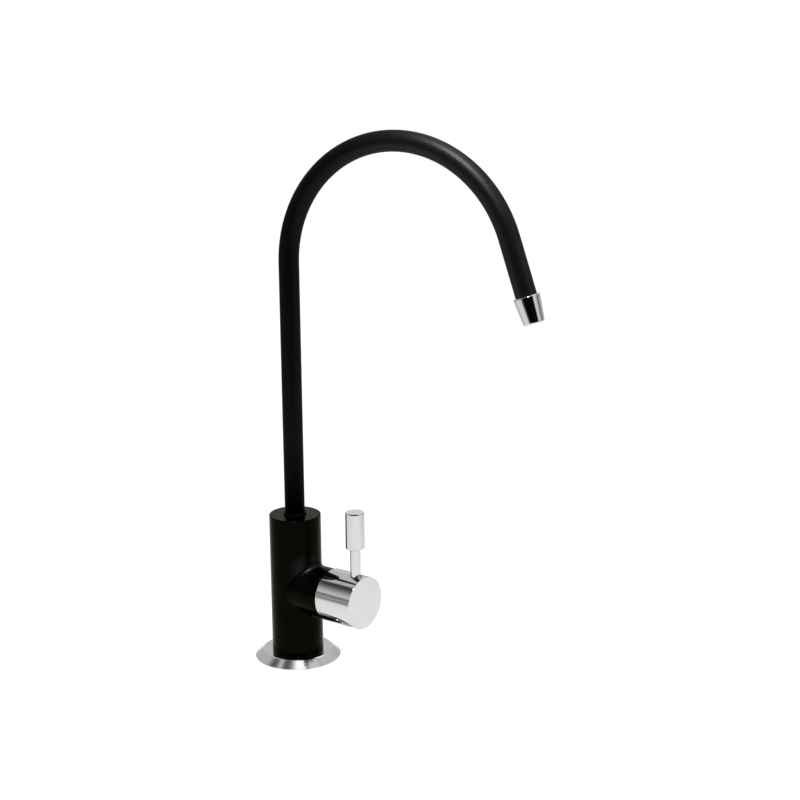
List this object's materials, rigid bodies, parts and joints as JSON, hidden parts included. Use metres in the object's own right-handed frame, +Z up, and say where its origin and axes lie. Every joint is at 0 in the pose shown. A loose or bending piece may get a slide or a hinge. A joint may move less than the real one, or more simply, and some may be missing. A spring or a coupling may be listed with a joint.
{
  "type": "drinking water filter tap",
  "caption": "Deck-mounted drinking water tap with a swivelling black swan neck spout, upright body, quarter-turn side knob with a chrome pin lever, base flange and threaded shank.",
  "frame": {"origin": "on the upright axis of the body in the worktop plane, at the underside of the base gasket", "axes": "+Z up along the body and the upright run of the spout, +X along the valve axis towards the knob"},
  "size_m": [0.1795, 0.0534, 0.3658],
  "materials": {
    "coat_satin": "satin black coat",
    "coat_textured": "fine textured black powder coat",
    "chrome": "polished chrome plate",
    "brass": "turned brass",
    "steel": "bright stainless steel",
    "ceramic": "lapped ceramic",
    "rubber": "moulded black rubber",
    "fibre": "pressed red fibre",
    "plastic_black": "moulded black acetal",
    "plastic_white": "moulded white plastic"
  },
  "bodies": {
    "tap": {"body": "coat_satin", "base_flange": "chrome", "base_gasket": "rubber", "shank": "steel", "shank_seal": "fibre", "cartridge_housing": "brass", "cartridge_o_ring": "rubber", "seat_seal": "rubber", "fixed_disc": "ceramic", "retaining_nut": "brass", "spout_bush": "plastic_black", "spout_clip": "steel"},
    "handle": {"knob": "chrome", "lever": "chrome", "grub_screw": "steel", "spindle": "brass", "moving_disc": "ceramic", "spindle_o_rings": "rubber", "spindle_clip": "steel"},
    "spout": {"spout_tube": "coat_textured", "spout_stub": "brass", "spout_o_rings": "rubber", "outlet_tip": "chrome", "tip_o_ring": "rubber", "flow_straightener": "plastic_white"},
    "fixing_set": {"rubber_washer": "rubber", "steel_washer": "steel", "fixing_nut": "brass"}
  },
  "joints": [
    {"name": "spout_swivel", "type": "hinge", "parent": "tap", "child": "spout", "pos_m": [0, 0, 0.0873], "axis": [0, 0, 1], "continuous": true},
    {"name": "lever_turn", "type": "hinge", "parent": "tap", "child": "handle", "pos_m": [0.026, 0, 0.0437], "axis": [1, 0, 0], "range_deg": [0, 90]},
    {"name": "fixing_travel", "type": "slide", "parent": "tap", "child": "fixing_set", "axis": [0, 0, -1], "range_m": [-0.016, 0.05]}
  ]
}
